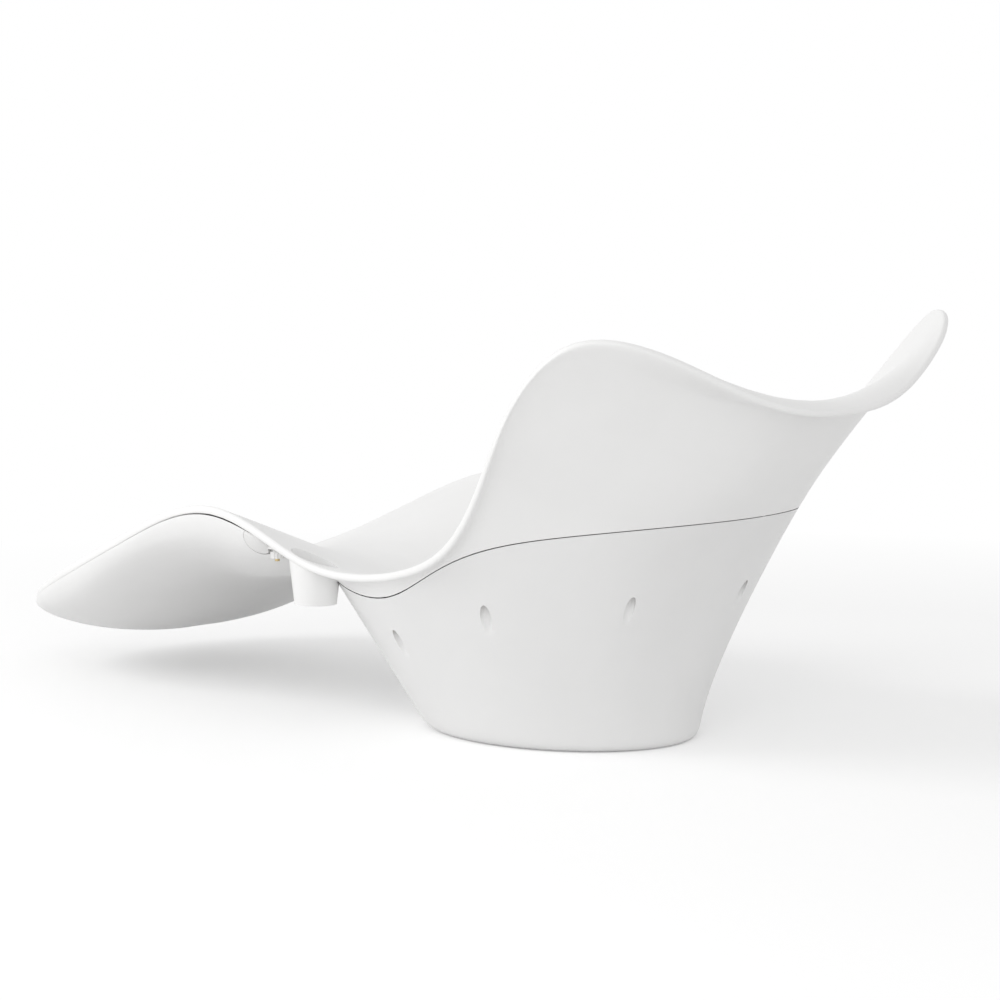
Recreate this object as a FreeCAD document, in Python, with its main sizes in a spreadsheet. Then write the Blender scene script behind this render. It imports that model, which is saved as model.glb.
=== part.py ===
import FreeCAD, Part
import os
from bisect import bisect_right
from math import atan2, cos, exp, hypot, log, pi, radians, sin, sqrt

Vector = FreeCAD.Vector
doc = FreeCAD.newDocument("PoolLounger")
sheet = doc.addObject("Spreadsheet::Sheet", "Sizes")

# Driving sizes in millimetres and degrees. X runs from the toes to the head, Y across, Z up from the floor.
driving_sizes = [
    # rim of the seat shell, from the toes round to the middle of the back
    ("FootTipX", -1172, "rim at the toes, middle"),
    ("FootTipHeight", 119, "rim height at the toes"),
    ("FootCornerX", -1093, "rounded corner beside the toes"),
    ("FootCornerHalf", 224, "half width at that corner"),
    ("FootCornerHeight", 141, "rim height at that corner"),
    ("CalfX", -880, "rim beside the calves"),
    ("CalfHalf", 334, "half width beside the calves"),
    ("CalfHeight", 219, "rim height beside the calves"),
    ("ShinX", -690, "rim beside the shins"),
    ("ShinHalf", 350, "half width beside the shins"),
    ("ShinHeight", 303, "rim height beside the shins"),
    ("HumpX", -447, "top of the hump beside the knees"),
    ("HumpHalf", 362, "half width at the hump"),
    ("HumpHeight", 364, "rim height at the hump"),
    ("FallX", -345, "rim falling behind the hump"),
    ("FallHalf", 360, "half width there"),
    ("FallHeight", 335.5, "rim height there"),
    ("CupSideX", -230, "rim beside the cup holder"),
    ("CupSideHalf", 360, "half width beside the cup holder"),
    ("CupSideHeight", 294, "rim height beside the cup holder"),
    ("WaistX", -68, "lowest rim beside the seat"),
    ("WaistHalf", 365, "half width at the waist"),
    ("WaistHeight", 290, "rim height at the waist"),
    ("ElbowX", 115, "rim starting to rise"),
    ("ElbowHalf", 385, "half width at the elbow"),
    ("ElbowHeight", 353, "rim height at the elbow"),
    ("ArmX", 220, "steep rise of the rim"),
    ("ArmHalf", 411, "half width at the rise"),
    ("ArmHeight", 467, "rim height at the rise"),
    ("WingFrontX", 300, "front edge of the wing"),
    ("WingFrontHalf", 436, "half width there"),
    ("WingFrontHeight", 578, "rim height there"),
    ("WingEdgeX", 361, "widest front edge of the wing"),
    ("WingEdgeHalf", 441, "half width there"),
    ("WingEdgeHeight", 646, "rim height there"),
    ("WingTipX", 437, "highest point of the wing"),
    ("WingTipHalf", 420, "half width at the wing tip"),
    ("WingTipHeight", 699, "rim height at the wing tip"),
    ("WingBackX", 517, "rim falling behind the wing"),
    ("WingBackHalf", 349, "half width there"),
    ("WingBackHeight", 690, "rim height there"),
    ("ShoulderX", 569, "rim beside the dip of the back"),
    ("ShoulderHalf", 247, "half width there"),
    ("ShoulderHeight", 642, "rim height there"),
    ("NapeX", 603, "rim beside the middle of the back"),
    ("NapeHalf", 123, "half width there"),
    ("NapeHeight", 594, "rim height there"),
    ("BackX", 612, "rim at the middle of the back"),
    ("BackHeight", 582, "rim height at the middle of the back"),
    # floor of the seat along the middle
    ("ToeFloorX", -1080, "floor under the heels"),
    ("ToeFloorHeight", 119, "its height"),
    ("CalfFloorX", -860, "floor under the calves"),
    ("CalfFloorHeight", 173, "its height"),
    ("KneeX", -520, "ridge under the knees"),
    ("KneeHeight", 260, "its height"),
    ("SeatX", -130, "lowest floor of the seat"),
    ("SeatHeight", 209, "its height"),
    ("PanBackX", 80, "rear of the seat pan"),
    ("PanBackHeight", 225, "its height"),
    ("LumbarX", 246, "lower back"),
    ("LumbarHeight", 295, "its height"),
    ("MidBackX", 374, "middle of the back"),
    ("MidBackHeight", 390, "its height"),
    ("UpperBackX", 490, "upper back"),
    ("UpperBackHeight", 516, "its height"),
    ("CrestX", 552, "back rolling over towards its rim"),
    ("CrestHeight", 588, "its height"),
    # seam between the seat shell and the tub
    ("SeamFrontX", -352, "front of the tub mouth"),
    ("SeamCornerX", -205, "rounded front corner of the mouth"),
    ("SeamCornerHalf", 310, "half width there"),
    ("SeamWaistX", -50, "lowest visible seam"),
    ("SeamWaistHalf", 346, "half width there"),
    ("SeamWaistHeight", 254, "seam height there"),
    ("SeamElbowX", 60, "seam below the elbow"),
    ("SeamElbowHalf", 356, "half width there"),
    ("SeamElbowHeight", 306, "seam height there"),
    ("SeamArmX", 165, "seam below the arm"),
    ("SeamArmHalf", 345, "half width there"),
    ("SeamArmHeight", 350, "seam height there"),
    ("SeamSideX", 298, "seam beside the back"),
    ("SeamSideHalf", 254, "half width there"),
    ("SeamSideHeight", 378, "seam height there"),
    ("SeamRearX", 404, "seam at the middle of the back"),
    ("SeamRearHeight", 390, "seam height there"),
    ("SeamGap", 1.5, "open joint between tub and seat shell"),
    ("RearFlare", 260, "outward sweep of the rear wall towards the seam"),
    ("RearFlareFocus", 14, "how closely that sweep keeps to the flat rear wall"),
    ("SkirtEnd", 106, "direction where the outer skirt starts to fade, from the rear"),
    ("SkirtClimb", 0.6, "share of its height that the skirt carries on the slope of the tub"),
    ("SheetStart", 124, "direction where the underside is a plain sheet"),
    # skins of the seat shell
    ("LegSheet", 9, "thickness of the leg trough"),
    ("NestSheet", 8, "thickness of the seat pan inside the tub"),
    ("LipThickness", 14, "thickness of the rounded rim"),
    ("LipStep", 4, "rim standing proud of the skirt"),
    ("RearLip", 50, "rim standing out over the rear wall"),
    ("RearLipFull", 20, "direction up to which it stands out fully"),
    ("RearLipEnd", 42, "direction where it is flush with the skirt"),
    ("DrainRadius", 16, "drain hole in the seat"),
    # tub
    ("FootLength", 500, "length of the tub at the floor"),
    ("FootWidth", 398, "width of the tub at the floor"),
    ("FootRound", 20, "rounded lower edge of the tub"),
    ("TubWall", 6, "wall of the tub"),
    ("TubFloor", 8, "floor of the tub"),
    ("FloodRadius", 12, "flood holes in the floor of the tub"),
    ("FloodCircle", 180, "circle of the flood holes"),
    # screw pockets of the tub and the lugs of the seat shell behind them
    ("FrontPocketAngle", 81.5, "direction of the front pockets, from the rear"),
    ("FrontPocketHeight", 168, "middle of the front pockets"),
    ("SidePocketAngle", 50, "direction of the side pockets"),
    ("SidePocketHeight", 229, "middle of the side pockets"),
    ("RearPocketAngle", 18, "direction of the rear pockets"),
    ("RearPocketHeight", 245, "middle of the rear pockets"),
    ("PocketRadius", 9.5, "bore of a pocket, which cuts a long oval in the wall"),
    ("PocketBite", 22, "angle between that bore and the wall"),
    ("PocketRise", 37, "screw seat above the middle of a pocket, along the bore"),
    ("PocketWall", 6, "wall round and above a pocket"),
    ("SeatLugRadius", 9.5, "round lug of the seat shell that stands on a pocket"),
    # screws, washers and inserts of the tub
    ("BoltRadius", 4, "shank of the base bolts"),
    ("BoltLength", 30, "length of the base bolts"),
    ("BoltHeadRadius", 6.5, "head of the base bolts"),
    ("BoltHeadHeight", 8, "height of that head"),
    ("BoltSocketRadius", 2.9, "hexagon socket of that head, corner radius"),
    ("BoltSocketDepth", 3, "depth of that socket"),
    ("BaseWasherRadius", 8, "washer under the bolt head"),
    ("BaseWasherThickness", 1.6, "thickness of that washer"),
    ("BoltClearance", 0.3, "room round a shank in a hole"),
    ("BoltEndRoom", 2, "room past the end of a bolt"),
    ("InsertRadius", 6, "threaded insert, outside"),
    ("InsertLength", 20, "length of the insert"),
    ("InsertClearance", 0.05, "room round the insert and round the shank in it"),
    # cup holder
    ("CupX", -254, "middle of the cup holder"),
    ("CupY", -322, "middle of the cup holder, near side"),
    ("CupTopRadius", 38.5, "cup holder inside, at the mouth"),
    ("CupFloorRadius", 30.5, "cup holder inside, at its floor"),
    ("CupFloorHeight", 223, "height of its floor"),
    ("CupWall", 4.5, "wall of the cup holder"),
    ("CupRoom", 3, "room between the cup holder and the tub"),
    # leg float
    ("FloatInset", -8, "float standing back from the rim line, or out past it where below zero"),
    ("FloatMiddleX", -760, "middle that the float's sections spread from"),
    ("FloatRearX", -376, "rear end of the float"),
    ("FloatRearBow", -54, "rear end curving back at the sides, round the tub"),
    ("FloatRoom", 1.7, "room between the float and the leg trough"),
    ("FloatEdge", 6, "upright upper edge of the float"),
    ("FloatWall", 6, "wall of the float"),
    ("FloatFullness", 2, "how full the underside is: 1 is a plain wedge, 2 is an oval"),
    ("FloatBlock", 90, "solid rear end of the float that carries the brackets"),
    ("BowHeight", 105, "underside of the float at the toes"),
    ("KeelX", -980, "lowest point of the float"),
    ("KeelHeight", 69, "height of that point above the floor"),
    ("BilgeX", -850, "start of the rise towards the knees"),
    ("BilgeHeight", 92, "its height"),
    ("RiseX", -710, "middle of that rise"),
    ("RiseHeight", 178, "its height"),
    ("HaunchX", -590, "end of that rise"),
    ("HaunchHeight", 204, "its height"),
    # brackets, studs and hand nuts that hold the float
    ("LugCentreX", -363, "bracket in the side of the float"),
    ("LugCentreDrop", 26, "bracket axis below the rim"),
    ("LugRadius", 24, "radius of the bracket in the float"),
    ("LugInset", 34, "bracket reaching into the float"),
    ("LugGroove", 1, "open groove round the bracket"),
    ("StudX", -340, "stud under the rim"),
    ("StudInset", 31, "stud in from the rim"),
    ("PadDrop", 5, "flat pad on the underside of the trough"),
    ("PadRadius", 13, "radius of that pad"),
    ("TongueThickness", 6, "tongue of the bracket under the pad"),
    ("StudRadius", 4, "radius of the stud"),
    ("StudBury", 8, "stud held in the shell"),
    ("StudWasherRadius", 9, "washer above the hand nut"),
    ("StudWasherThickness", 1.5, "its thickness"),
    ("NutRadius", 11.5, "radius of the hand nut"),
    ("NutHeight", 11, "height of the hand nut"),
    ("NutCollarRadius", 8, "collar on top of the hand nut"),
    ("NutCollarHeight", 3, "height of that collar"),
    ("NutFluteRadius", 2.2, "grip flutes of the hand nut"),
    ("NutClearance", 0.05, "running room between nut and stud"),
    ("NutGap", 0.05, "nut below its washer"),
    ("NutRoom", 4, "room for fingers round the hand nut"),
    ("StudEnd", 5, "stud standing out below the nut"),
    # vent plug of the float
    ("PlugRadius", 9.8, "shank of the vent plug"),
    ("PlugFlange", 14, "flange of the vent plug"),
    ("PlugFlangeHeight", 2.5, "height of that flange"),
    ("PlugLength", 12, "shank of the plug inside the float"),
    ("PlugRoom", 0.2, "room round the shank"),
    ("SealHeight", 1, "sealing ring under the flange"),
    ("SealInset", 1, "ring standing back from the edge of the flange"),
    ("SpotDepth", 1, "flat spot for the ring"),
    ("SpotRoom", 1, "flat spot reaching past the flange"),
    # ballast in the tub
    ("BallastX", 25, "middle of the ballast plate"),
    ("BallastRadius", 150, "radius of the ballast plate"),
    ("BallastHeight", 36, "height of the ballast plate"),
    ("BallastScrewCircle", 105, "circle of its screws"),
    ("BallastScrewRadius", 3, "shank of its screws"),
    ("BallastScrewHold", 5, "screw held in the tub floor"),
    ("BallastHeadRadius", 5.5, "head of its screws"),
    ("BallastHeadHeight", 4, "height of that head"),
    ("BallastWasherRadius", 9, "washer of its screws"),
    ("BallastWasherThickness", 1.6, "thickness of that washer"),
]


def fill_sheet():
    for row, (alias, value, note) in enumerate(driving_sizes, start=1):
        sheet.set("A%d" % row, note)
        sheet.set("B%d" % row, str(value))
        sheet.setAlias("B%d" % row, alias)
    doc.recompute()


def size(alias):
    return float(getattr(sheet, alias))


fill_sheet()

spoke_count = 144
half_samples = 800
# how far cutting tools and blocks that are trimmed later run past what they meet
overrun = 60
pan_centre = Vector(size("SeatX"), 0, 0)


def between(low, value, high):
    return max(low, min(value, high))


def fade(start, value, end):
    share = between(0, (value - start) / (end - start), 1)
    return share * share * (3 - 2 * share)


def curve_points(points, closed=False, count=half_samples):
    curve = Part.BSplineCurve()
    curve.interpolate(Points=points, PeriodicFlag=closed)
    return curve.discretize(Number=count)


def table(keys, values):
    # value read between the rows of a table with rising keys
    def read(key):
        row = int(between(1, bisect_right(keys, key), len(keys) - 1))
        low, high = keys[row - 1], keys[row]
        share = between(0, (key - low) / (high - low), 1)
        return values[row - 1] + share * (values[row] - values[row - 1])
    return read


def smooth_table(stations):
    # smooth height over X through the given stations
    points = curve_points([Vector(x, 0, z) for x, z in stations])
    return table([p.x for p in points], [p.z for p in points])


def station(name):
    return Vector(size(name + "X"), size(name + "Half"), size(name + "Height"))


def mirrored(point):
    return Vector(point.x, -point.y, point.z)


def closed_loop(first, side, last):
    # symmetric closed line: front point, one side, rear point, other side
    return [first] + side + [last] + [mirrored(p) for p in reversed(side)]


rim_side_names = ["FootCorner", "Calf", "Shin", "Hump", "Fall", "CupSide", "Waist", "Elbow", "Arm",
                  "WingFront", "WingEdge", "WingTip", "WingBack", "Shoulder", "Nape"]
foot_tip = Vector(size("FootTipX"), 0, size("FootTipHeight"))
back_middle = Vector(size("BackX"), 0, size("BackHeight"))
rim_loop = closed_loop(foot_tip, [station(name) for name in rim_side_names], back_middle)
rim_points = curve_points(rim_loop, closed=True, count=2 * half_samples + 1)
rim_side = rim_points[:half_samples + 1]
rim_half_at = table([p.x for p in rim_side], [p.y for p in rim_side])
rim_height_at = table([p.x for p in rim_side], [p.z for p in rim_side])

floor_names = ["ToeFloor", "CalfFloor", "Knee", "Seat", "PanBack", "Lumbar", "MidBack", "UpperBack",
               "Crest"]
floor_stations = [(foot_tip.x, foot_tip.z)]
floor_stations += [(size(name + "X"), size(name + "Height")) for name in floor_names]
floor_stations += [(back_middle.x, back_middle.z)]
floor_at = smooth_table(floor_stations)

# along the rim: share of the width that is flat floor, how tight the corner to the side wall is, and how
# much the wall levels out into an arm rest beside the rim
trough_names = ["FootTip", "Calf", "Hump", "Waist", "Elbow", "Arm", "WingFront", "WingEdge", "WingTip",
                "Back"]
trough_stations = [size(name + "X") for name in trough_names]
flat_share_at = table(trough_stations, [0.0, 0.2, 0.28, 0.62, 0.5, 0.36, 0.3, 0.18, 0.05, 0.0])
corner_at = table(trough_stations, [2.0, 5.0, 8.0, 12.0, 12.0, 10.0, 9.0, 7.0, 4.0, 2.0])
arm_rest_at = table(trough_stations, [0.0, 0.0, 0.1, 0.7, 0.8, 0.5, 0.2, 0.0, 0.0, 0.0])


def trough(share, flat, corner):
    # 0 on the middle line, 1 on the rim: flat floor, rounded corner, straight wall
    def rise(s):
        return log(1 + exp(corner * (s - flat))) + log(1 + exp(-corner * (s + flat)))
    return (rise(share) - rise(0)) / (rise(1) - rise(0))


def deck_height(x, y, most=1):
    # most is the share of the half width up to which the side wall runs
    half = max(rim_half_at(x), 1e-6)
    share = between(0, abs(y) / half, most)
    share = share * (1 + arm_rest_at(x) * max(1 - share, 0))
    low = floor_at(x)
    return low + (rim_height_at(x) - low) * trough(share, flat_share_at(x), corner_at(x))


def surface_through(rings):
    # smooth face whose control net is a list of rings, all with as many points
    count = len(rings[0])
    degree = min(3, len(rings) - 1)
    spans = len(rings) - degree
    net = [[ring[i] for ring in rings] for i in range(count)]
    surface = Part.BSplineSurface()
    surface.buildFromPolesMultsKnots(
        net, [1] * (count + 1), [degree + 1] + [1] * (spans - 1) + [degree + 1],
        list(range(count + 1)), list(range(spans + 1)), True, False, 3, degree)
    return surface.toShape()


def ring_edge(ring):
    count = len(ring)
    curve = Part.BSplineCurve()
    curve.buildFromPolesMultsKnots(ring, [1] * (count + 1), list(range(count + 1)), True, 3)
    return curve.toShape()


def solid_of(faces):
    shell = Part.makeShell(faces)
    shell.sewShape()
    solid = Part.Solid(shell)
    if solid.Volume < 0:
        shell.reverse()
        solid = Part.Solid(shell)
    return solid


# spokes from the middle of the seat pan to the rim
rim_ring = [rim_points[int(round(2.0 * half_samples * i / spoke_count))] for i in range(spoke_count)]


def spoke_point(i, share):
    rim = rim_ring[i]
    x = pan_centre.x + share * (rim.x - pan_centre.x)
    y = share * rim.y
    return Vector(x, y, deck_height(x, y))


def deck_normal(i, share):
    inner = min(share, 0.992)
    before = spoke_point((i - 1) % spoke_count, inner)
    after = spoke_point((i + 1) % spoke_count, inner)
    along = after - before
    across = spoke_point(i, min(inner + 0.008, 1)) - spoke_point(i, inner - 0.008)
    normal = along.cross(across)
    if normal.z < 0:
        normal = normal * -1
    return normal.normalize()


def direction_of(point):
    # angle round the seat pan, 0 at the rear, 180 at the toes
    return abs(atan2(point.y, point.x - pan_centre.x)) * 180 / pi


seam_names = ["SeamWaist", "SeamElbow", "SeamArm", "SeamSide"]
seam_front = Vector(size("SeamFrontX"), 0, size("SeamWaistHeight"))
seam_corner = Vector(size("SeamCornerX"), size("SeamCornerHalf"), size("SeamWaistHeight"))
seam_rear = Vector(size("SeamRearX"), 0, size("SeamRearHeight"))
seam_loop = closed_loop(seam_front, [seam_corner] + [station(name) for name in seam_names], seam_rear)
seam_side = curve_points(seam_loop, closed=True, count=2 * half_samples + 1)[:half_samples + 1]
seam_side = sorted(seam_side, key=direction_of)
seam_angles = [direction_of(p) for p in seam_side]
seam_radius_at = table(seam_angles, [hypot(p.x - pan_centre.x, p.y) for p in seam_side])
seam_line_at = table(seam_angles, [p.z for p in seam_side])


def plan_point(angle, radius, side, height=0):
    turn = radians(angle)
    return Vector(pan_centre.x + radius * cos(turn), side * radius * sin(turn), height)


def seam_point(angle, side):
    point = plan_point(angle, seam_radius_at(angle), side)
    under = deck_height(point.x, point.y) - 1.15 * size("LegSheet")
    line = seam_line_at(angle)
    front = fade(size("SkirtEnd"), angle, size("SheetStart"))
    point.z = line + front * (under - line)
    return point


def foot_radius(angle, inset=0):
    # distance from the middle of the pan to the oval foot of the tub, along the given direction
    a = size("FootLength") / 2 - inset
    b = size("FootWidth") / 2 - inset
    ux, uy = cos(radians(angle)), sin(radians(angle))
    px = pan_centre.x
    qa = ux * ux / a ** 2 + uy * uy / b ** 2
    qb = 2 * px * ux / a ** 2
    qc = px * px / a ** 2 - 1
    return (-qb + sqrt(qb * qb - 4 * qa * qc)) / (2 * qa)


def rear_flare(angle):
    return size("RearFlare") * max(0, cos(radians(angle))) ** size("RearFlareFocus")


def tub_radius(angle, side, height):
    # outer wall of the tub at a height, along the given direction
    seam = seam_point(angle, side)
    low = foot_radius(angle)
    share = height / seam.z
    return low + (seam_radius_at(angle) - low) * share + rear_flare(angle) * (share * share - share)


def wall_slope_at_seam(angle, side):
    seam = seam_point(angle, side)
    return (seam_radius_at(angle) - foot_radius(angle) + rear_flare(angle)) / seam.z


def side_of(point):
    return 1 if point.y >= 0 else -1


top_shares = [0.1, 0.17, 0.24, 0.31, 0.38, 0.45, 0.51, 0.57, 0.62, 0.67, 0.72, 0.76, 0.8, 0.84, 0.87,
              0.9, 0.925, 0.95, 0.97, 0.985, 1.0]


def drain_ring(height_drop):
    ring = []
    for i in range(spoke_count):
        rim = rim_ring[i]
        out = Vector(rim.x - pan_centre.x, rim.y, 0).normalize()
        x = pan_centre.x + size("DrainRadius") * out.x
        y = size("DrainRadius") * out.y
        ring.append(Vector(x, y, deck_height(x, y) - height_drop))
    return ring


def shell_sections():
    # per spoke: rim nose, outer skirt or underside to the seam, ledge, and pan underside
    lip = size("LipThickness")
    noses, skirts, ledges, pans = [], [], [], []
    steps = 16
    for i in range(spoke_count):
        rim = rim_ring[i]
        angle, side = direction_of(rim), side_of(rim)
        normal = deck_normal(i, 1)
        radial = Vector(rim.x - pan_centre.x, rim.y, 0).normalize()
        outward = radial - normal * normal.dot(radial)
        outward.normalize()
        under = rim - normal * lip
        noses.append([rim + outward * (0.35 * lip),
                      rim + outward * (0.6 * lip) - normal * (0.5 * lip),
                      under + outward * (0.35 * lip)])
        seam = seam_point(angle, side)
        front = fade(size("SkirtEnd"), angle, size("SheetStart"))
        rim_radius = hypot(rim.x - pan_centre.x, rim.y)
        seam_share = seam_radius_at(angle) / rim_radius
        root = 1 - size("RearLip") * (1 - fade(size("RearLipFull"), angle, size("RearLipEnd"))) / rim_radius
        start = spoke_point(i, root) - deck_normal(i, root) * lip - radial * size("LipStep")
        rise = max(start.z - seam.z, 1)
        climb = size("SkirtClimb") * rise
        bend = seam + radial * (climb * wall_slope_at_seam(angle, side)) + Vector(0, 0, climb)
        skirt = []
        for k in range(steps):
            u = k / (steps - 1.0)
            wall = start * ((1 - u) ** 2) + bend * (2 * u * (1 - u)) + seam * (u * u)
            share = 1 + u * (seam_share - 1)
            thick = size("LegSheet") + (lip - size("LegSheet")) * (1 - fade(0, u, 0.12))
            sheet_point = spoke_point(i, share) - deck_normal(i, share) * thick
            skirt.append(wall * (1 - front) + sheet_point * front)
        skirts.append(skirt)
        best_share, best_gap = seam_share, 1e9
        for k in range(120):
            share = seam_share * (0.7 + 0.4 * k / 120)
            if share < 1:
                inner = spoke_point(i, share) - deck_normal(i, share) * size("NestSheet")
                gap = inner.distanceToPoint(skirt[-1])
                if gap < best_gap:
                    best_share, best_gap = share, gap
        inner_shares = [best_share * (1 - k / 11.0) + 0.1 * k / 11.0 for k in range(12)]
        pan = [spoke_point(i, s) - deck_normal(i, s) * size("NestSheet") for s in inner_shares]
        ledges.append(pan[0])
        pans.append(pan)
    return noses, skirts, ledges, pans


def rings_of(sections):
    return [[section[k] for section in sections] for k in range(len(sections[0]))]


def seat_skin():
    noses, skirts, ledges, pans = shell_sections()
    top = [drain_ring(0)]
    top += [[spoke_point(i, share) for i in range(spoke_count)] for share in top_shares]
    outer = top + rings_of(noses) + rings_of(skirts)
    nest = rings_of(pans) + [drain_ring(size("NestSheet"))]
    faces = [surface_through(outer),
             surface_through([outer[-1], nest[0]]),
             surface_through(nest),
             surface_through([nest[-1], outer[0]])]
    return solid_of(faces)


def pole_cap(ring, height, inner_share=0.9):
    # cap from a ring to one point over the middle
    middle = Vector(sum(p.x for p in ring) / len(ring), 0, height)
    shoulder = [Vector(middle.x + inner_share * (p.x - middle.x), inner_share * p.y, p.z) for p in ring]
    dome = [Vector((p.x + middle.x) / 2, p.y / 2, height) for p in ring]
    return surface_through([ring, shoulder, dome, [middle] * len(ring)])


tub_angles = [(360.0 * i / 96) for i in range(96)]


def around(angle):
    # direction from the rear on either side, with the sign of Y
    return (angle, 1) if angle <= 180 else (360 - angle, -1)


def tub_ring(height_share, lowest, inset):
    # ring of the tub wall at a share of the way from the foot to the seam
    ring = []
    for turn in tub_angles:
        angle, side = around(turn)
        top = seam_point(angle, side).z - size("SeamGap")
        height = lowest + height_share * (top - lowest)
        slope = (tub_radius(angle, side, top) - foot_radius(angle)) / top
        radius = tub_radius(angle, side, height) - inset * sqrt(1 + slope * slope)
        ring.append(plan_point(angle, radius, side, height))
    return ring


def foot_ring(inset, height):
    ring = []
    for turn in tub_angles:
        angle, side = around(turn)
        ring.append(plan_point(angle, foot_radius(angle, inset), side, height))
    return ring


wall_shares = [1, 0.97, 0.9, 0.8, 0.65, 0.5, 0.35, 0.2, 0.1, 0.03]


def tub_rings(inset, floor_height):
    # rings of one side of the wall from the seam down to a rounded lower edge
    edge = size("FootRound")
    rings = [tub_ring(share, floor_height + 0.6 * edge, inset) for share in wall_shares]
    rings.append(foot_ring(inset + 1, floor_height))
    rings.append(foot_ring(inset + edge, floor_height))
    return rings


def tub_block():
    # the whole outside of the tub as one block
    rings = tub_rings(0, 0)
    floor = Part.Face(Part.Wire(ring_edge(rings[-1])))
    return solid_of([surface_through(rings), floor, pole_cap(rings[0], max(p.z for p in rings[0]))])


def tub_skin():
    # open tub with an even wall and a flat floor
    outer = tub_rings(0, 0)
    inner = tub_rings(size("TubWall"), size("TubFloor"))[1:]
    floors = [Part.Face(Part.Wire(ring_edge(rings[-1]))) for rings in (outer, inner)]
    edge = surface_through([outer[0], inner[0]])
    return solid_of([surface_through(outer), surface_through(inner[::-1]), edge] + floors)


pockets = []
for pocket_name in ("FrontPocket", "SidePocket", "RearPocket"):
    for pocket_side in (1, -1):
        pockets.append((size(pocket_name + "Angle"), pocket_side, size(pocket_name + "Height")))


def pocket_frame(pocket):
    # placement on the screw seat: local Z runs up the bore, which leans out less than the wall
    angle, side, height = pocket
    turn = side * radians(angle)
    step = 10
    slope = (tub_radius(angle, side, height + step) - tub_radius(angle, side, height - step)) / (2 * step)
    lean = atan2(slope, 1) - radians(size("PocketBite"))
    axis = Vector(cos(turn) * sin(lean), sin(turn) * sin(lean), cos(lean))
    across = Vector(-sin(turn), cos(turn), 0)
    mouth = plan_point(angle, tub_radius(angle, side, height), side, height)
    upright = FreeCAD.Rotation(across, axis.cross(across), axis, "ZXY")
    return FreeCAD.Placement(mouth + axis * size("PocketRise"), upright)


def placed(shape, placement):
    moved = shape.copy()
    moved.Placement = placement.multiply(moved.Placement)
    return moved


def tub_shape():
    wall = size("PocketWall")
    radius = size("PocketRadius")
    depth = size("PocketRise") + overrun
    frames = [pocket_frame(pocket) for pocket in pockets]
    boss = Part.makeCylinder(radius + wall, depth + wall, Vector(0, 0, -depth))
    recess = Part.makeCylinder(radius, depth, Vector(0, 0, -depth))
    hole = Part.makeCylinder(size("BoltRadius") + size("BoltClearance"), 2 * depth, Vector(0, 0, -depth))
    block = tub_block()
    tub = tub_skin().fuse([placed(boss, frame).common(block) for frame in frames])
    tools = [placed(recess, frame) for frame in frames]
    tools += [placed(hole, frame) for frame in frames]
    for turn in (45, 135, 225, 315):
        at = Vector(size("FloodCircle") * cos(radians(turn)), size("FloodCircle") * sin(radians(turn)), -1)
        tools.append(Part.makeCylinder(size("FloodRadius"), 3 * size("TubFloor"), at))
    for place in ballast_screw_places():
        low = Vector(place.x, place.y, size("TubFloor") - size("BallastScrewHold"))
        tools.append(Part.makeCylinder(size("BallastScrewRadius") + size("InsertClearance"), overrun, low))
    tools.append(cup_cone(size("CupWall") + size("CupRoom")))
    return tub.cut(tools)


def ballast_screw_places():
    circle = size("BallastScrewCircle")
    return [Vector(size("BallastX") + circle * cos(radians(turn)), circle * sin(radians(turn)), 0)
            for turn in (60, 180, 300)]


def under_deck():
    # everything below the middle of the deck skin and of the rim lip, for trimming what hangs from them
    half_skin = 0.5 * size("NestSheet")
    half_lip = 0.5 * size("LipThickness")
    rings = []
    for share in [0.08] + top_shares[1:-2]:
        ring = [spoke_point(i, share) - deck_normal(i, share) * half_skin for i in range(spoke_count)]
        rings.append(ring)
    lip = [rim_ring[i] - deck_normal(i, 1) * half_lip for i in range(spoke_count)]
    around_lip = []
    for point in lip:
        radial = Vector(point.x - pan_centre.x, point.y, 0).normalize()
        around_lip.append(point + radial * size("LipThickness"))
    rings += [lip, around_lip]
    skirt = [Vector(p.x, p.y, 0) for p in around_lip]
    floor = Part.Face(Part.Wire(ring_edge(skirt)))
    crown = pole_cap(rings[0], rings[0][0].z)
    return solid_of([crown, surface_through(rings), surface_through([around_lip, skirt]), floor])


def stud_point(side):
    half = rim_half_at(size("StudX")) - size("StudInset")
    height = deck_height(size("StudX"), half) - 1.2 * size("LegSheet") - size("PadDrop")
    return Vector(size("StudX"), side * half, height)


def cup_cone(grow):
    # tapered inside of the cup holder, or its outside when grown by the wall
    floor = size("CupFloorHeight")
    depth = deck_height(size("CupX"), size("CupY")) - floor
    rise = depth + overrun
    spread = (size("CupTopRadius") - size("CupFloorRadius")) / depth
    low = size("CupFloorRadius") + grow
    return Part.makeCone(low, low + spread * rise, rise, Vector(size("CupX"), size("CupY"), floor - grow))


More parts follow.
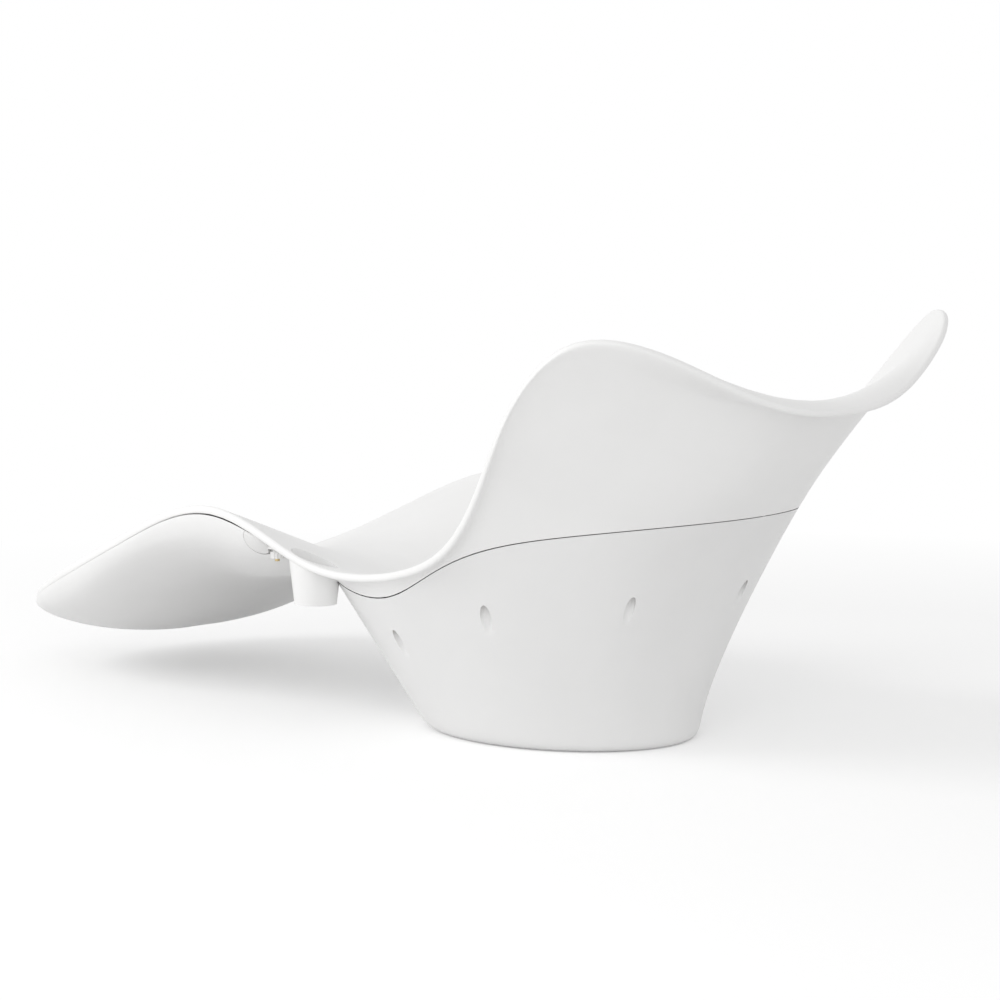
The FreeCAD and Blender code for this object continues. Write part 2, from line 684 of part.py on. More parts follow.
def seat_shape():
    shell = seat_skin()
    below = under_deck()
    added = []
    for pocket in pockets:
        frame = pocket_frame(pocket)
        face = size("PocketWall")
        lug = Part.makeCylinder(size("SeatLugRadius"), 2 * overrun, Vector(0, 0, face))
        added.append(placed(lug, frame).common(below))
    for side in (1, -1):
        pad = Part.makeCylinder(size("PadRadius"), overrun, stud_point(side))
        added.append(pad.common(below))
    cup = cup_cone(size("CupWall"))
    added.append(cup.common(below))
    shell = shell.fuse(added)
    shell = shell.cut(cup_cone(0))
    for pocket in pockets:
        face = size("PocketWall")
        seat = Part.makeCylinder(size("InsertRadius") + size("InsertClearance"), size("InsertLength"),
                                 Vector(0, 0, face))
        tip = Part.makeCylinder(size("BoltRadius") + size("BoltClearance"),
                                size("BoltLength") - face + size("BoltEndRoom"), Vector(0, 0, face))
        shell = shell.cut(placed(seat, pocket_frame(pocket))).cut(placed(tip, pocket_frame(pocket)))
    for side in (1, -1):
        shell = shell.cut(Part.makeCylinder(size("StudRadius") + size("InsertClearance"), size("StudBury"),
                                            stud_point(side)))
    return shell


float_middle = Vector(size("FloatMiddleX"), 0, 0)
float_turns = [(360.0 * i / 96) for i in range(96)]
keel_stations = [(size("FootTipX"), size("BowHeight"))]
keel_stations += [(size(name + "X"), size(name + "Height")) for name in ("Keel", "Bilge", "Rise", "Haunch")]
keel_stations += [(size("FloatRearX"), deck_height(size("FloatRearX"), 0) - 2.5 * size("LegSheet"))]
keel_at = smooth_table(keel_stations)


def reach_inside(inside, turn):
    # how far a direction from the middle of the float stays inside an outline
    low, high = 0.0, 2000.0
    for _ in range(40):
        mid = (low + high) / 2
        if inside(float_middle.x + mid * cos(radians(turn)), mid * sin(radians(turn))):
            low = mid
        else:
            high = mid
    return low


def under_rim(x, y):
    return size("FootTipX") < x < size("BackX") and abs(y) < rim_half_at(x)


def before_rear(x, y):
    return x < size("FloatRearX") - size("FloatRearBow") * (y / size("FallHalf")) ** 2


def before_block(x, y):
    return before_rear(x + size("FloatBlock"), y)


def float_reach(turn, inset, ends_before):
    # distance from the middle of the float to its outline, the rear corners rounded
    side = reach_inside(under_rim, turn) - size("FloatInset")
    rear = reach_inside(ends_before, turn)
    return (side ** -14 + rear ** -14) ** (-1 / 14.0) - inset


def float_top(x, y, share, inset):
    # underside of the leg trough, also past the rim, less some room, lower under the thick rim lip
    step = 2.0
    past = 1.1
    dx = (deck_height(x + step, y, past) - deck_height(x - step, y, past)) / (2 * step)
    dy = (deck_height(x, y + step, past) - deck_height(x, y - step, past)) / (2 * step)
    lean = min(sqrt(1 + dx * dx + dy * dy), 2)
    lip = fade(0.7, share, 0.93)
    sheet = size("LegSheet") + lip * (size("LipThickness") - size("LegSheet")) + size("FloatRoom")
    return deck_height(x, y, past) - sheet * lean - inset


def hull_section(share):
    # 0 on the keel, 1 at the edge, where the side stands upright
    fullness = size("FloatFullness")
    return 1 - (1 - share ** fullness) ** (1 / fullness)


def float_block(inset, ends_before):
    shares = [0.15, 0.3, 0.45, 0.6, 0.72, 0.82, 0.9, 0.95, 0.985]
    top_rings = [[] for _ in shares]
    hull_rings = [[] for _ in shares]
    edge_top, edge_low = [], []
    for turn in float_turns:
        reach = float_reach(turn, inset, ends_before)
        ux, uy = cos(radians(turn)), sin(radians(turn))
        out_x, out_y = float_middle.x + reach * ux, reach * uy
        high = float_top(out_x, out_y, 1, inset)
        low = high - max(size("FloatEdge") - 2 * inset, size("FloatEdge") / 3)
        edge_top.append(Vector(out_x, out_y, high))
        edge_low.append(Vector(out_x, out_y, low))
        rise = low - keel_at(out_x) - inset
        for k, share in enumerate(shares):
            x, y = float_middle.x + share * reach * ux, share * reach * uy
            top = float_top(x, y, share, inset)
            hull = keel_at(x) + inset + rise * hull_section(share)
            top_rings[k].append(Vector(x, y, top))
            hull_rings[k].append(Vector(x, y, min(hull, top - 4)))
    pole_top = Vector(float_middle.x, 0, float_top(float_middle.x, 0, 0, inset))
    pole_low = Vector(float_middle.x, 0, keel_at(float_middle.x) + inset)
    count = len(float_turns)
    upper = surface_through([[pole_top] * count] + top_rings + [edge_top])
    lower = surface_through([edge_low] + hull_rings[::-1] + [[pole_low] * count])
    return solid_of([upper, surface_through([edge_top, edge_low]), lower])


def lug_axis(side):
    rim_z = rim_height_at(size("LugCentreX"))
    return Vector(size("LugCentreX"), side * rim_half_at(size("LugCentreX")), rim_z - size("LugCentreDrop"))


def lug_round(side, grow):
    start = lug_axis(side) + Vector(0, side * overrun, 0)
    reach = overrun + size("LugInset")
    return Part.makeCylinder(size("LugRadius") + grow, reach, start, Vector(0, -side, 0))


def tongue_slab(side, grow):
    stud = stud_point(side)
    lug = lug_axis(side)
    thick = size("TongueThickness")
    half = size("PadRadius") + grow
    run = Part.makeBox(stud.x - lug.x, 2 * half, thick + 2 * grow,
                       Vector(lug.x, stud.y - half, stud.z - thick - grow))
    round_end = Part.makeCylinder(half, thick + 2 * grow, Vector(stud.x, stud.y, stud.z - thick - grow))
    return run.fuse(round_end)


def nut_room(side):
    # upright room round the pad, washer and hand nut
    low = stud_point(side) - Vector(0, 0, overrun)
    return Part.makeCylinder(size("NutRadius") + size("NutRoom"), 2 * overrun, low)


def bracket_shape(side, hull):
    body = lug_round(side, 0).common(hull).cut(nut_room(side)).fuse(tongue_slab(side, 0))
    low = stud_point(side) - Vector(0, 0, overrun)
    hole = Part.makeCylinder(size("StudRadius") + size("BoltClearance"), 2 * overrun, low)
    return body.cut(hole)


def float_shape(hull):
    body = hull.cut(float_block(size("FloatWall"), before_block))
    for side in (1, -1):
        groove = size("LugGroove")
        body = body.cut([lug_round(side, groove), tongue_slab(side, groove), nut_room(side)])
    low = plug_point() - Vector(0, 0, overrun)
    spot = Part.makeCylinder(size("PlugFlange") + size("SpotRoom"), overrun, low)
    hole = Part.makeCylinder(size("PlugRadius") + size("PlugRoom"), overrun + 2 * size("PlugLength"), low)
    return body.cut(spot).cut(hole)


def plug_point():
    return Vector(size("KeelX"), 0, keel_at(size("KeelX")) + size("SpotDepth"))


def whole(shape):
    # the one solid that a boolean leaves
    solids = shape.Solids
    if len(solids) != 1:
        raise ValueError("expected one solid, found %d" % len(solids))
    return solids[0]


def shaped(name, shape, placement=FreeCAD.Placement()):
    piece = doc.addObject("Part::Feature", name)
    piece.Label = name
    piece.Shape = shape
    piece.Placement = placement
    return piece


def bound(kind, name, height=None, **sizes):
    # primitive whose sizes follow the sheet, standing at a height that is also read from it
    piece = doc.addObject(kind, name)
    for prop, words in sizes.items():
        piece.setExpression(prop, words)
    if height:
        piece.setExpression("Placement.Base.z", height)
    return piece


def cylinder(name, radius, length, height=None):
    return bound("Part::Cylinder", name, height, Radius=radius, Height=length)


def cut_from(name, base, tool):
    piece = doc.addObject("Part::Cut", name)
    piece.Base = base
    piece.Tool = tool
    return piece


def joined(name, pieces):
    piece = doc.addObject("Part::MultiFuse", name)
    piece.Shapes = pieces
    return piece


def copies(name, pattern, placements):
    # one node made of equal pieces
    doc.recompute()
    return shaped(name, Part.makeCompound([placed(pattern.Shape, placement) for placement in placements]))


def at(point):
    return FreeCAD.Placement(point, FreeCAD.Rotation())


def base_hardware():
    # bolt, washer and insert on the axis of a screw pocket, the screw seat at zero
    frames = [pocket_frame(pocket) for pocket in pockets]
    shank = cylinder("bolt_shank", "Sizes.BoltRadius", "Sizes.BoltLength", "-Sizes.BaseWasherThickness")
    head = cylinder("bolt_head", "Sizes.BoltHeadRadius", "Sizes.BoltHeadHeight",
                    "-Sizes.BaseWasherThickness - Sizes.BoltHeadHeight")
    socket = bound("Part::Prism", "bolt_socket", "-Sizes.BaseWasherThickness - Sizes.BoltHeadHeight",
                   Circumradius="Sizes.BoltSocketRadius", Height="Sizes.BoltSocketDepth")
    socket.Polygon = 6
    bolt = cut_from("bolt", joined("bolt_blank", [shank, head]), socket)
    disc = cylinder("base_washer_disc", "Sizes.BaseWasherRadius", "Sizes.BaseWasherThickness",
                    "-Sizes.BaseWasherThickness")
    disc_hole = cylinder("base_washer_hole", "Sizes.BoltRadius + Sizes.BoltClearance",
                         "Sizes.BaseWasherThickness", "-Sizes.BaseWasherThickness")
    sleeve = cylinder("insert_sleeve", "Sizes.InsertRadius", "Sizes.InsertLength", "Sizes.PocketWall")
    sleeve_bore = cylinder("insert_bore", "Sizes.BoltRadius + Sizes.InsertClearance", "Sizes.InsertLength",
                           "Sizes.PocketWall")
    return [copies("base_bolts", bolt, frames),
            copies("base_washers", cut_from("base_washer", disc, disc_hole), frames),
            copies("base_inserts", cut_from("base_insert", sleeve, sleeve_bore), frames)]


def stud_hardware():
    # stud, washer and hand nut under the pads, the pad face at zero
    places = {"left": at(stud_point(-1)), "right": at(stud_point(1))}
    below = "-Sizes.TongueThickness - Sizes.StudWasherThickness"
    nut_low = below + " - Sizes.NutGap - Sizes.NutCollarHeight - Sizes.NutHeight"
    length = "Sizes.StudBury + Sizes.TongueThickness + Sizes.StudWasherThickness + Sizes.NutGap"
    length += " + Sizes.NutCollarHeight + Sizes.NutHeight + Sizes.StudEnd"
    stud = cylinder("stud", "Sizes.StudRadius", length, nut_low + " - Sizes.StudEnd")
    disc = cylinder("stud_washer_disc", "Sizes.StudWasherRadius", "Sizes.StudWasherThickness", below)
    disc_hole = cylinder("stud_washer_hole", "Sizes.StudRadius + Sizes.BoltClearance",
                         "Sizes.StudWasherThickness", below)
    pieces = [copies("float_studs", stud, places.values()),
              copies("stud_washers", cut_from("stud_washer", disc, disc_hole), places.values())]
    grip = cylinder("nut_grip", "Sizes.NutRadius", "Sizes.NutHeight", nut_low)
    collar = cylinder("nut_collar", "Sizes.NutCollarRadius", "Sizes.NutCollarHeight",
                      below + " - Sizes.NutGap - Sizes.NutCollarHeight")
    bore = cylinder("nut_bore", "Sizes.StudRadius + Sizes.NutClearance",
                    "Sizes.NutHeight + Sizes.NutCollarHeight", nut_low)
    flutes = []
    flute_count = 12
    flute_circle = "(Sizes.NutRadius + Sizes.NutFluteRadius / 2)"
    for k in range(flute_count):
        flute = cylinder("nut_flute_%d" % k, "Sizes.NutFluteRadius", "Sizes.NutHeight", nut_low)
        turn = 360.0 * k / flute_count
        flute.setExpression("Placement.Base.x", "%s * cos(%g)" % (flute_circle, turn))
        flute.setExpression("Placement.Base.y", "%s * sin(%g)" % (flute_circle, turn))
        flutes.append(flute)
    nut = cut_from("nut", joined("nut_blank", [grip, collar]), joined("nut_cuts", [bore] + flutes))
    doc.recompute()
    for side, place in places.items():
        pieces.append(shaped(side + "_knob_nut", nut.Shape, place))
    return pieces


def plug_hardware():
    # vent plug and its sealing ring under the float, the flat spot at zero
    place = [at(plug_point())]
    flange = cylinder("plug_flange", "Sizes.PlugFlange", "Sizes.PlugFlangeHeight",
                      "-Sizes.SealHeight - Sizes.PlugFlangeHeight")
    shank = cylinder("plug_shank", "Sizes.PlugRadius", "Sizes.PlugLength + Sizes.SealHeight",
                     "-Sizes.SealHeight")
    ring = cylinder("seal_disc", "Sizes.PlugFlange - Sizes.SealInset", "Sizes.SealHeight",
                    "-Sizes.SealHeight")
    ring_bore = cylinder("seal_bore", "Sizes.PlugRadius + Sizes.PlugRoom", "Sizes.SealHeight",
                         "-Sizes.SealHeight")
    return [copies("float_vent_plug", joined("plug", [flange, shank]), place),
            copies("vent_plug_seal", cut_from("seal", ring, ring_bore), place)]


def ballast_hardware():
    # ballast plate on the floor of the tub with its screws and washers
    middle = Vector(size("BallastX"), 0, size("TubFloor"))
    plate = cylinder("plate_disc", "Sizes.BallastRadius", "Sizes.BallastHeight")
    doc.recompute()
    drilled = placed(plate.Shape, at(middle))
    hole_radius = size("BallastScrewRadius") + size("BoltClearance")
    for place in ballast_screw_places():
        drilled = drilled.cut(Part.makeCylinder(hole_radius, 2 * size("BallastHeight"), place))
    top = Vector(0, 0, size("TubFloor") + size("BallastHeight"))
    places = [at(place + top) for place in ballast_screw_places()]
    shank = cylinder("ballast_shank", "Sizes.BallastScrewRadius",
                     "Sizes.BallastScrewHold + Sizes.BallastHeight + Sizes.BallastWasherThickness",
                     "-Sizes.BallastScrewHold - Sizes.BallastHeight")
    head = cylinder("ballast_head", "Sizes.BallastHeadRadius", "Sizes.BallastHeadHeight",
                    "Sizes.BallastWasherThickness")
    disc = cylinder("ballast_washer_disc", "Sizes.BallastWasherRadius", "Sizes.BallastWasherThickness")
    disc_hole = cylinder("ballast_washer_hole", "Sizes.BallastScrewRadius + Sizes.BoltClearance",
                         "Sizes.BallastWasherThickness")
    return [shaped("ballast_plate", whole(drilled)),
            copies("ballast_screws", joined("ballast_screw", [shank, head]), places),
            copies("ballast_washers", cut_from("ballast_washer", disc, disc_hole), places)]


hull = float_block(0, before_rear)
nodes = [shaped("seat_shell", whole(seat_shape())),
         shaped("base_tub", whole(tub_shape())),
         shaped("leg_float", whole(float_shape(hull))),
         shaped("left_float_bracket", whole(bracket_shape(-1, hull))),
         shaped("right_float_bracket", whole(bracket_shape(1, hull)))]
nodes += base_hardware()
nodes += stud_hardware()
nodes += plug_hardware()
nodes += ballast_hardware()
doc.recompute()

for item in doc.Objects:
    if "Invalid" in item.State or "Error" in item.State:
        raise ValueError(item.Name + " did not build")
for node in nodes:
    if node.Shape.isNull() or not node.Shape.isValid():
        raise ValueError(node.Label + " has a bad shape")

os.makedirs("parts", exist_ok=True)
for node in nodes:
    node.Shape.exportStep("parts/%s.step" % node.Label)
    print(node.Label, len(node.Shape.Solids), round(node.Shape.Volume / 1000.0, 2))
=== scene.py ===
import math

import bmesh
import bpy
from mathutils import Matrix, Vector


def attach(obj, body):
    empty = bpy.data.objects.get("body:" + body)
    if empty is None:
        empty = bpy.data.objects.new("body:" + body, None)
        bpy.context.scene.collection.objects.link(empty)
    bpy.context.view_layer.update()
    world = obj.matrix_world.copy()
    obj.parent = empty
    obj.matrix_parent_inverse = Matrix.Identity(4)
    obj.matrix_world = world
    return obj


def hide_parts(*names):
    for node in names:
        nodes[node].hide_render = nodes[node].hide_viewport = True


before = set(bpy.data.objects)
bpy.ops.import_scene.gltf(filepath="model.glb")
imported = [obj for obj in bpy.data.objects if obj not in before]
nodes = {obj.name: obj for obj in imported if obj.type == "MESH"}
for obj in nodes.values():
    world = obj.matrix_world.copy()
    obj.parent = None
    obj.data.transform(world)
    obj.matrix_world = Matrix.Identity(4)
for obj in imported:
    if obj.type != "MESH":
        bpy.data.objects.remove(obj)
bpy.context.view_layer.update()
print("frame loaded:", len(nodes), "nodes")


# shader node groups

def newGroup(name, inputs, outputs):
    group = bpy.data.node_groups.new(name, "ShaderNodeTree")
    for label, kind, value in inputs:
        socket = group.interface.new_socket(name=label, in_out="INPUT", socket_type=kind)
        socket.default_value = value
    for label, kind in outputs:
        group.interface.new_socket(name=label, in_out="OUTPUT", socket_type=kind)
    return group, group.nodes.new("NodeGroupInput"), group.nodes.new("NodeGroupOutput")


def addNode(tree, kind, **values):
    node = tree.nodes.new(kind)
    for key, value in values.items():
        setattr(node, key, value)
    return node


def noise(tree, coords, scale, detail, roughness):
    node = addNode(tree, "ShaderNodeTexNoise")
    node.inputs["Detail"].default_value = detail
    node.inputs["Roughness"].default_value = roughness
    if isinstance(scale, float):
        node.inputs["Scale"].default_value = scale
    else:
        tree.links.new(scale, node.inputs["Scale"])
    tree.links.new(coords, node.inputs["Vector"])
    return node.outputs["Fac"]


def remap(tree, value, fromLow, fromHigh, toLow, toHigh):
    node = addNode(tree, "ShaderNodeMapRange")
    node.inputs["From Min"].default_value = fromLow
    node.inputs["From Max"].default_value = fromHigh
    node.inputs["To Min"].default_value = toLow
    node.inputs["To Max"].default_value = toHigh
    tree.links.new(value, node.inputs["Value"])
    return node.outputs["Result"]


def mixColour(tree, factor, first, second):
    node = addNode(tree, "ShaderNodeMix", data_type="RGBA")
    for source, socket in ((factor, 0), (first, 6), (second, 7)):
        if isinstance(source, tuple):
            node.inputs[socket].default_value = source
        else:
            tree.links.new(source, node.inputs[socket])
    return node.outputs[2]


skinLook = {
    "cloudDetail": 4.0, "cloudMix": 0.55, "cloudFrom": 0.35, "cloudTo": 0.75,
    "grainDetail": 2.0, "grainMix": 0.5,
    "scuffScale": 38.0, "scuffDetail": 6.0, "scuffMix": 0.7, "scuffFrom": 0.62, "scuffTo": 0.8,
    "scuffRough": 0.12, "smoothest": 0.36, "roughest": 0.46, "roughFrom": 0.2, "roughTo": 0.8,
}


def mouldedSkin():
    # cloudy tint of moulded plastic, a faint grain and small scuffs
    look = skinLook
    group, source, sink = newGroup(
        "mouldedSkin",
        [("Vector", "NodeSocketVector", (0, 0, 0)),
         ("Clean", "NodeSocketColor", (0.9, 0.9, 0.9, 1)),
         ("Cloud", "NodeSocketColor", (0.85, 0.85, 0.85, 1)),
         ("Cloud Scale", "NodeSocketFloat", 5.0),
         ("Grain Scale", "NodeSocketFloat", 700.0)],
        [("Colour", "NodeSocketColor"), ("Roughness", "NodeSocketFloat"), ("Height", "NodeSocketFloat")])
    coords = source.outputs["Vector"]
    cloud = noise(group, coords, source.outputs["Cloud Scale"], look["cloudDetail"], look["cloudMix"])
    cloudMask = remap(group, cloud, look["cloudFrom"], look["cloudTo"], 0.0, 1.0)
    grain = noise(group, coords, source.outputs["Grain Scale"], look["grainDetail"], look["grainMix"])
    scuff = noise(group, coords, look["scuffScale"], look["scuffDetail"], look["scuffMix"])
    scuffMask = remap(group, scuff, look["scuffFrom"], look["scuffTo"], 0.0, look["scuffRough"])
    tint = mixColour(group, cloudMask, source.outputs["Clean"], source.outputs["Cloud"])
    rough = remap(group, cloud, look["roughFrom"], look["roughTo"], look["smoothest"], look["roughest"])
    roughSum = addNode(group, "ShaderNodeMath", operation="ADD")
    group.links.new(rough, roughSum.inputs[0])
    group.links.new(scuffMask, roughSum.inputs[1])
    group.links.new(tint, sink.inputs["Colour"])
    group.links.new(roughSum.outputs[0], sink.inputs["Roughness"])
    group.links.new(grain, sink.inputs["Height"])
    return group


tarnishLook = {
    "patchDetail": 5.0, "patchMix": 0.6, "dullFrom": 0.3, "dullTo": 0.7,
    "smoothest": 0.28, "roughest": 0.5, "roughFrom": 0.2, "roughTo": 0.8,
}


def tarnish():
    # uneven colour and polish of a bare metal
    look = tarnishLook
    group, source, sink = newGroup(
        "tarnish",
        [("Vector", "NodeSocketVector", (0, 0, 0)),
         ("Bright", "NodeSocketColor", (0.8, 0.8, 0.8, 1)),
         ("Dull", "NodeSocketColor", (0.5, 0.5, 0.5, 1)),
         ("Scale", "NodeSocketFloat", 120.0)],
        [("Colour", "NodeSocketColor"), ("Roughness", "NodeSocketFloat"), ("Height", "NodeSocketFloat")])
    coords = source.outputs["Vector"]
    patch = noise(group, coords, source.outputs["Scale"], look["patchDetail"], look["patchMix"])
    dullMask = remap(group, patch, look["dullFrom"], look["dullTo"], 0.0, 1.0)
    tint = mixColour(group, dullMask, source.outputs["Bright"], source.outputs["Dull"])
    rough = remap(group, patch, look["roughFrom"], look["roughTo"], look["smoothest"], look["roughest"])
    group.links.new(tint, sink.inputs["Colour"])
    group.links.new(rough, sink.inputs["Roughness"])
    group.links.new(patch, sink.inputs["Height"])
    return group


mouldedSkinGroup = mouldedSkin()
tarnishGroup = tarnish()


def surface(name, group, bumpStrength, bumpDistance, constants, **groupValues):
    material = bpy.data.materials.new(name)
    material.use_nodes = True
    tree = material.node_tree
    shader = tree.nodes["Principled BSDF"]
    coords = addNode(tree, "ShaderNodeTexCoord").outputs["Object"]
    effect = addNode(tree, "ShaderNodeGroup", node_tree=group)
    tree.links.new(coords, effect.inputs["Vector"])
    for label, value in groupValues.items():
        effect.inputs[label.replace("_", " ")].default_value = value
    bump = addNode(tree, "ShaderNodeBump")
    bump.inputs["Strength"].default_value = bumpStrength
    bump.inputs["Distance"].default_value = bumpDistance
    tree.links.new(effect.outputs["Height"], bump.inputs["Height"])
    tree.links.new(effect.outputs["Colour"], shader.inputs["Base Color"])
    tree.links.new(effect.outputs["Roughness"], shader.inputs["Roughness"])
    tree.links.new(bump.outputs["Normal"], shader.inputs["Normal"])
    for label, value in constants.items():
        shader.inputs[label].default_value = value
    return material


def grey(level, warmth=0.0):
    return (level, level - 0.3 * warmth, level - warmth, 1)


plasticLook = {"bump": 0.06, "grainDepth": 0.0004, "gloss": {"Specular IOR Level": 0.42}}
metalLook = {"bump": 0.08, "patchDepth": 0.0002, "gloss": {"Metallic": 1.0}}
rubberLook = {"bump": 0.1, "grainDepth": 0.0003, "gloss": {"Specular IOR Level": 0.3}}
ironLook = {"bump": 0.3, "patchDepth": 0.0008, "gloss": {"Specular IOR Level": 0.3}}


def plastic(name, clean, cloud):
    return surface(name, mouldedSkinGroup, plasticLook["bump"], plasticLook["grainDepth"],
                   plasticLook["gloss"], Clean=clean, Cloud=cloud)


def metal(name, bright, dull, scale):
    return surface(name, tarnishGroup, metalLook["bump"], metalLook["patchDepth"],
                   metalLook["gloss"], Bright=bright, Dull=dull, Scale=scale)


seatWhite = plastic("seatWhite", grey(0.90, 0.008), grey(0.875, 0.008))
tubWhite = plastic("tubWhite", grey(0.86, 0.006), grey(0.835, 0.006))
floatWhite = plastic("floatWhite", grey(0.87, 0.008), grey(0.845, 0.008))
fittingWhite = plastic("fittingWhite", grey(0.84, 0.012), grey(0.80, 0.012))
boltBronze = metal("boltBronze", (0.62, 0.53, 0.4, 1), (0.42, 0.35, 0.26, 1), 260.0)
washerSteel = metal("washerSteel", grey(0.72), grey(0.55), 240.0)
studBrass = metal("studBrass", (0.75, 0.6, 0.33, 1), (0.5, 0.38, 0.2, 1), 300.0)
sealRubber = surface("sealRubber", mouldedSkinGroup, rubberLook["bump"], rubberLook["grainDepth"],
                     rubberLook["gloss"], Clean=grey(0.035), Cloud=grey(0.06))
ballastIron = surface("ballastIron", tarnishGroup, ironLook["bump"], ironLook["patchDepth"],
                      ironLook["gloss"], Bright=grey(0.14), Dull=grey(0.07), Scale=60.0)
print("materials made")


# pieces

finishes = {
    "left_float_bracket": fittingWhite, "right_float_bracket": fittingWhite,
    "left_knob_nut": fittingWhite, "right_knob_nut": fittingWhite,
    "float_studs": studBrass, "stud_washers": washerSteel,
    "base_bolts": boltBronze, "base_washers": washerSteel, "base_inserts": studBrass,
    "float_vent_plug": fittingWhite, "vent_plug_seal": sealRubber,
    "ballast_plate": ballastIron, "ballast_screws": boltBronze, "ballast_washers": washerSteel,
}

for nodeName, finish in finishes.items():
    for materialSlot in nodes[nodeName].material_slots:
        materialSlot.material = finish

mouldings = {
    "seat_shell": {"piece": "seatMoulding", "finish": seatWhite, "slot": "seat_plastic"},
    "base_tub": {"piece": "tubMoulding", "finish": tubWhite, "slot": "tub_plastic"},
    "leg_float": {"piece": "floatMoulding", "finish": floatWhite, "slot": "float_plastic"},
}
smoothShell = {"weld": 1e-5, "crease": math.radians(38)}


def smoothMoulding(nodeName, words):
    # welded copy of a solid with soft shading across its curved faces
    mesh = nodes[nodeName].data.copy()
    mesh.name = words["piece"]
    custom = mesh.attributes.get("custom_normal")
    if custom:
        mesh.attributes.remove(custom)
    shape = bmesh.new()
    shape.from_mesh(mesh)
    bmesh.ops.remove_doubles(shape, verts=shape.verts, dist=smoothShell["weld"])
    for face in shape.faces:
        face.smooth = True
    for edge in shape.edges:
        edge.smooth = edge.calc_face_angle(math.pi) < smoothShell["crease"]
    shape.to_mesh(mesh)
    shape.free()
    mesh.materials.clear()
    mesh.materials.append(words["finish"])
    piece = bpy.data.objects.new(words["piece"], mesh)
    bpy.context.collection.objects.link(piece)
    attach(piece, "lounger")
    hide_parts(nodeName)
    return piece


for nodeName, words in mouldings.items():
    smoothMoulding(nodeName, words)
print("mouldings smoothed")


# floor, light and camera

studio = {
    "floorSize": 40.0, "floorWhite": grey(0.86), "floorLift": 0.22,
    "shadowReach": 1.5, "whiteFrom": 2.6,
    "skyTop": 0.62, "skyEdge": 0.86,
    "keyPower": 110.0, "keySize": 3.0, "keyPlace": (-3.4, -4.4, 3.2),
    "fillPower": 55.0, "fillSize": 4.0, "fillPlace": (3.4, -4.6, 2.4),
    "aim": (-0.25, 0.0, 0.3),
}


def seenDirectly(tree):
    # 1 for rays from the camera and for what shows in gloss or through glass
    path = addNode(tree, "ShaderNodeLightPath")
    total = path.outputs["Is Camera Ray"]
    for label in ("Is Glossy Ray", "Is Transmission Ray"):
        most = addNode(tree, "ShaderNodeMath", operation="MAXIMUM")
        tree.links.new(total, most.inputs[0])
        tree.links.new(path.outputs[label], most.inputs[1])
        total = most.outputs[0]
    return total


def paleFloor():
    # paper that carries the shadow near the lounger and turns plain white further out
    shape = bmesh.new()
    bmesh.ops.create_grid(shape, x_segments=1, y_segments=1, size=studio["floorSize"] / 2)
    mesh = bpy.data.meshes.new("studioFloor")
    shape.to_mesh(mesh)
    shape.free()
    floor = bpy.data.objects.new("studioFloor", mesh)
    bpy.context.collection.objects.link(floor)
    material = bpy.data.materials.new("floorPaper")
    material.use_nodes = True
    tree = material.node_tree
    tree.nodes.clear()
    seen = seenDirectly(tree)
    paper = addNode(tree, "ShaderNodeBsdfDiffuse")
    paper.inputs["Color"].default_value = studio["floorWhite"]
    lift = addNode(tree, "ShaderNodeEmission")
    tree.links.new(remap(tree, seen, 0.0, 1.0, 0.0, studio["floorLift"]), lift.inputs["Strength"])
    near = addNode(tree, "ShaderNodeAddShader")
    tree.links.new(paper.outputs[0], near.inputs[0])
    tree.links.new(lift.outputs[0], near.inputs[1])
    distance = addNode(tree, "ShaderNodeVectorMath", operation="LENGTH")
    tree.links.new(addNode(tree, "ShaderNodeTexCoord").outputs["Object"], distance.inputs[0])
    away = remap(tree, distance.outputs["Value"], studio["shadowReach"], studio["whiteFrom"], 0.0, 1.0)
    share = addNode(tree, "ShaderNodeMath", operation="MULTIPLY")
    tree.links.new(away, share.inputs[0])
    tree.links.new(seen, share.inputs[1])
    white = addNode(tree, "ShaderNodeEmission")
    blend = addNode(tree, "ShaderNodeMixShader")
    tree.links.new(share.outputs[0], blend.inputs[0])
    tree.links.new(near.outputs[0], blend.inputs[1])
    tree.links.new(white.outputs[0], blend.inputs[2])
    sink = addNode(tree, "ShaderNodeOutputMaterial")
    tree.links.new(blend.outputs[0], sink.inputs["Surface"])
    mesh.materials.append(material)


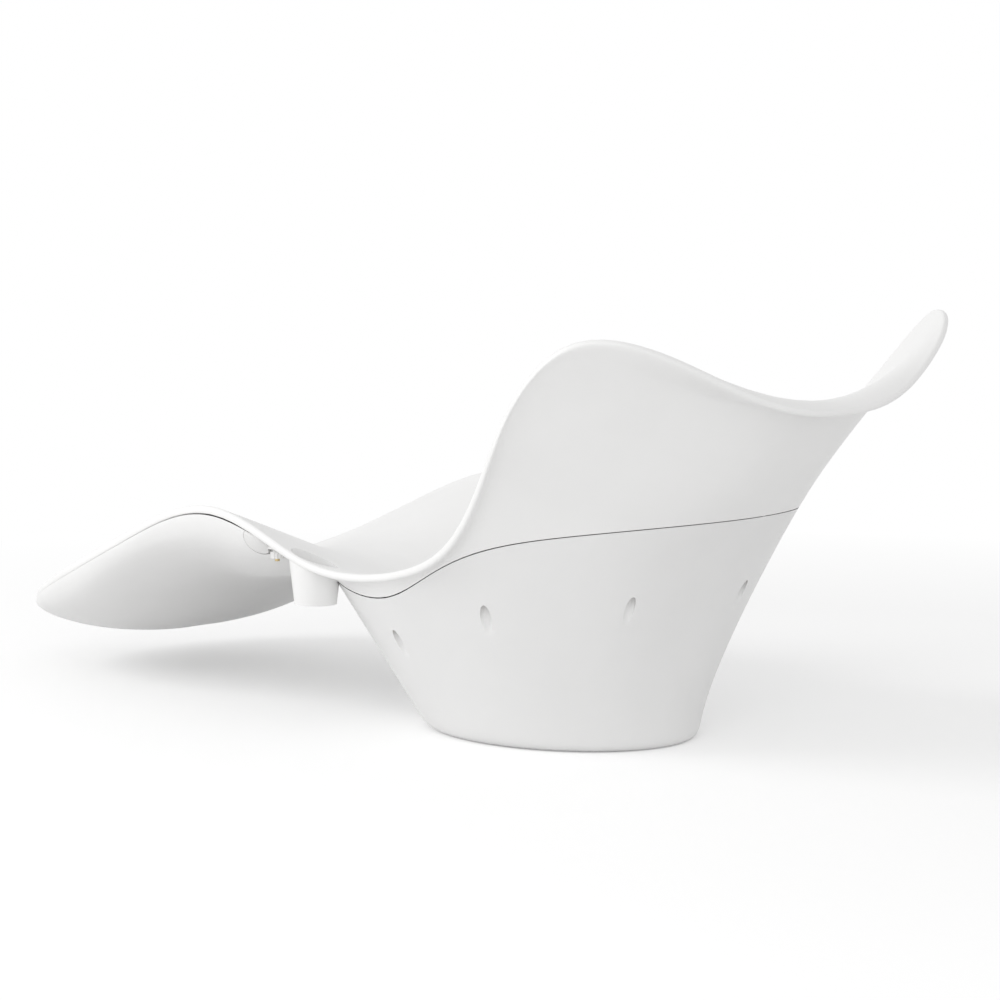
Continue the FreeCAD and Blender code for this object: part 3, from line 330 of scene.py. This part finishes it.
def paleWorld():
    # soft light, stronger from the sides than from above, that shows as plain white
    world = bpy.data.worlds.new("studioWorld")
    bpy.context.scene.world = world
    world.use_nodes = True
    tree = world.node_tree
    back = tree.nodes["Background"]
    split = addNode(tree, "ShaderNodeSeparateXYZ")
    tree.links.new(addNode(tree, "ShaderNodeTexCoord").outputs["Generated"], split.inputs[0])
    sky = remap(tree, split.outputs["Z"], 0.0, 1.0, studio["skyEdge"], studio["skyTop"])
    strength = addNode(tree, "ShaderNodeMix", data_type="FLOAT")
    tree.links.new(seenDirectly(tree), strength.inputs["Factor"])
    tree.links.new(sky, strength.inputs["A"])
    strength.inputs["B"].default_value = 1.0
    back.inputs["Color"].default_value = (1, 1, 1, 1)
    tree.links.new(strength.outputs[0], back.inputs["Strength"])


def softLamp(name, power, width, place):
    lamp = bpy.data.lights.new(name, "AREA")
    lamp.energy = power
    lamp.shape = "DISK"
    lamp.size = width
    holder = bpy.data.objects.new(name, lamp)
    bpy.context.collection.objects.link(holder)
    towards = Vector(studio["aim"]) - Vector(place)
    holder.matrix_world = Matrix.Translation(place) @ towards.to_track_quat("-Z", "Y").to_matrix().to_4x4()


# the view: turned 45 degrees to the near side, a long lens a little above the seat
view = {
    "turn": math.radians(45), "focalPixels": 4268.0, "imagePixels": 1000.0, "sensor": 36.0,
    "horizonRow": -30.0, "floorPixelsPerMetre": 600.0, "originPixel": (562.0, 729.0),
    "farthest": 100.0,
}


def photoCamera():
    middle = view["imagePixels"] / 2
    focal = view["focalPixels"]
    pitch = math.atan((middle - view["horizonRow"]) / focal)
    right = Vector((math.cos(view["turn"]), math.sin(view["turn"]), 0))
    level = Vector((-math.sin(view["turn"]), math.cos(view["turn"]), 0))
    upward = Vector((0, 0, 1))
    forward = level * math.cos(pitch) - upward * math.sin(pitch)
    above = level * math.sin(pitch) + upward * math.cos(pitch)
    column, row = view["originPixel"]
    sightline = right * ((column - middle) / focal) - above * ((row - middle) / focal) + forward
    place = sightline * (-focal / view["floorPixelsPerMetre"])
    lens = bpy.data.cameras.new("photoCamera")
    lens.sensor_width = view["sensor"]
    lens.lens = focal / view["imagePixels"] * view["sensor"]
    lens.clip_end = view["farthest"]
    camera = bpy.data.objects.new("photoCamera", lens)
    bpy.context.collection.objects.link(camera)
    turned = Matrix((right, above, -forward)).transposed().to_4x4()
    camera.matrix_world = Matrix.Translation(place) @ turned
    bpy.context.scene.camera = camera


paleFloor()
paleWorld()
softLamp("keyLamp", studio["keyPower"], studio["keySize"], studio["keyPlace"])
softLamp("fillLamp", studio["fillPower"], studio["fillSize"], studio["fillPlace"])
photoCamera()
bpy.context.scene.view_settings.view_transform = "Standard"
print("studio ready")
